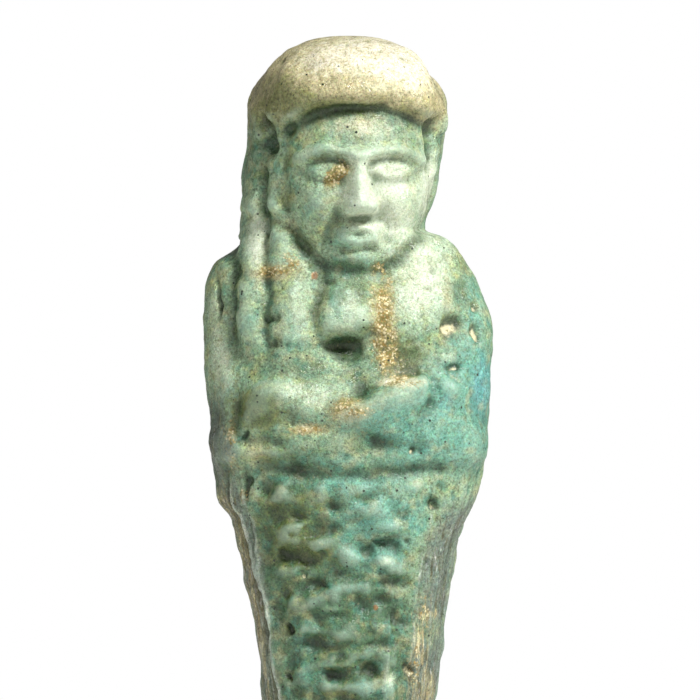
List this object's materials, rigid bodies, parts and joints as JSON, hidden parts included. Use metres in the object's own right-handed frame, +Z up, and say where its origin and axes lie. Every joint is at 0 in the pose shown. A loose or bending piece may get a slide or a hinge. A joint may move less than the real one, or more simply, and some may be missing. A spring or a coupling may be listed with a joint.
{
  "type": "ushabti figurine",
  "caption": "Standing mummiform funerary figurine in glazed faience, with a heavy wig, plaited beard and crossed arms, on a low base with a plain back pillar.",
  "frame": {"origin": "centre of the base's footprint, on the surface the figurine stands on", "axes": "+Z up along the figure's height, -Y the way the face looks, +X towards the figure's own left hand"},
  "size_m": [0.0288, 0.0226, 0.108],
  "materials": {
    "faience": "satin"
  },
  "bodies": {
    "root": {"ushabti": "faience"}
  },
  "joints": []
}
